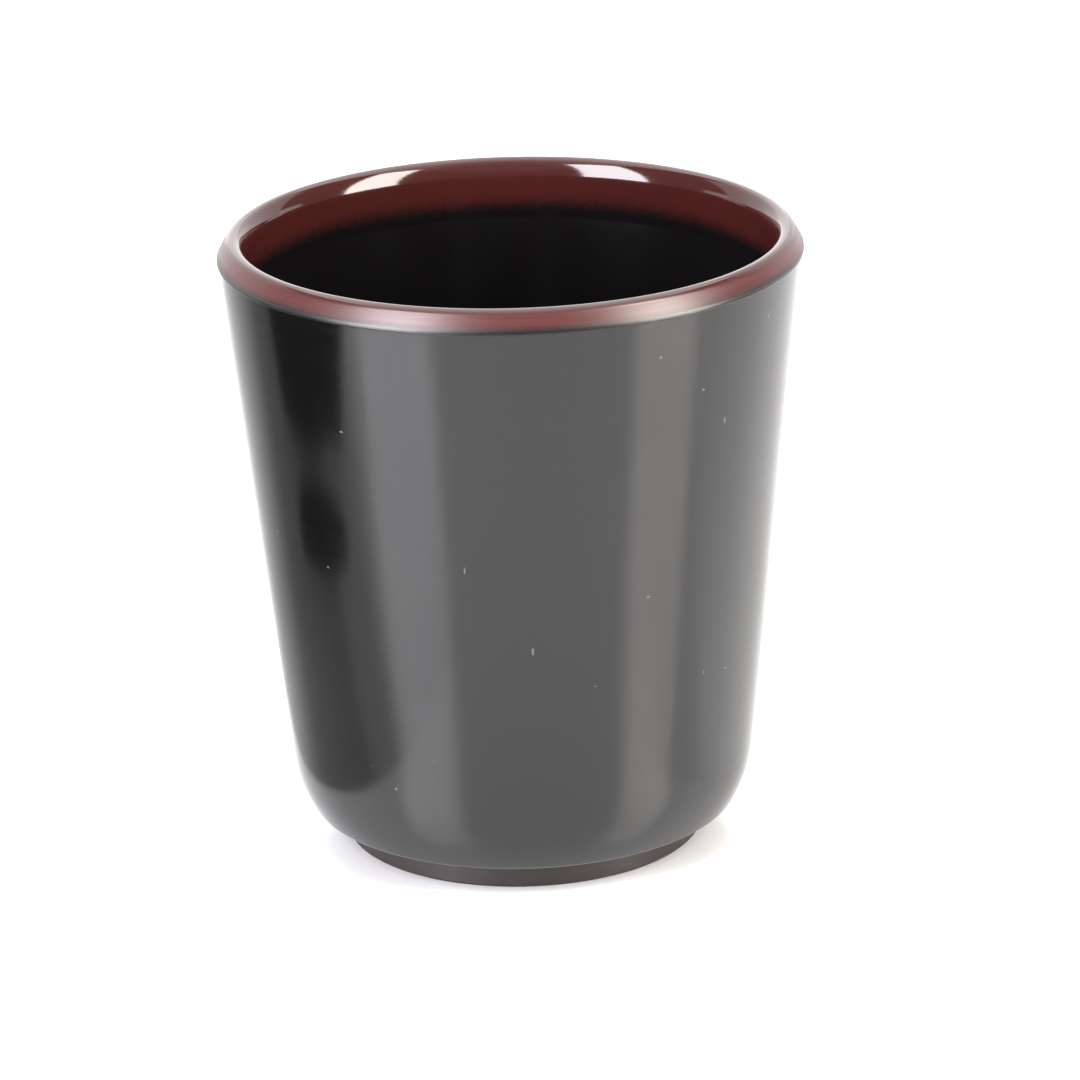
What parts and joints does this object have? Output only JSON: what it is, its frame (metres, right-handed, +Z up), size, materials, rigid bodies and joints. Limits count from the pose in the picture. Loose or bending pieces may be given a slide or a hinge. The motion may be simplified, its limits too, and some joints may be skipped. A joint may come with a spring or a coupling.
{
  "type": "cup",
  "caption": "Handleless tapered bamboo drinking cup in black lacquer with a maroon lip, a rounded base and a low inset foot ring.",
  "frame": {"origin": "centre of the foot ring's resting face, on the table", "axes": "+Z up along the cup's axis, X and Y level; the cup is round, so no side is the front"},
  "size_m": [0.08, 0.08, 0.0866],
  "materials": {
    "bamboo": "pressed bamboo, sanded, hidden under the lacquer",
    "foot_stain": "thin brown-black lacquer rubbed matt",
    "satin_black_lacquer": "satin black lacquer",
    "maroon_lacquer": "glossy maroon lacquer",
    "gloss_black_lacquer": "gloss black lacquer"
  },
  "bodies": {
    "root": {"cup_core": "bamboo", "foot_ring": "foot_stain", "outer_lacquer": "satin_black_lacquer", "rim_lacquer": "maroon_lacquer", "inner_lacquer": "gloss_black_lacquer", "base_lacquer": "satin_black_lacquer"}
  },
  "joints": []
}
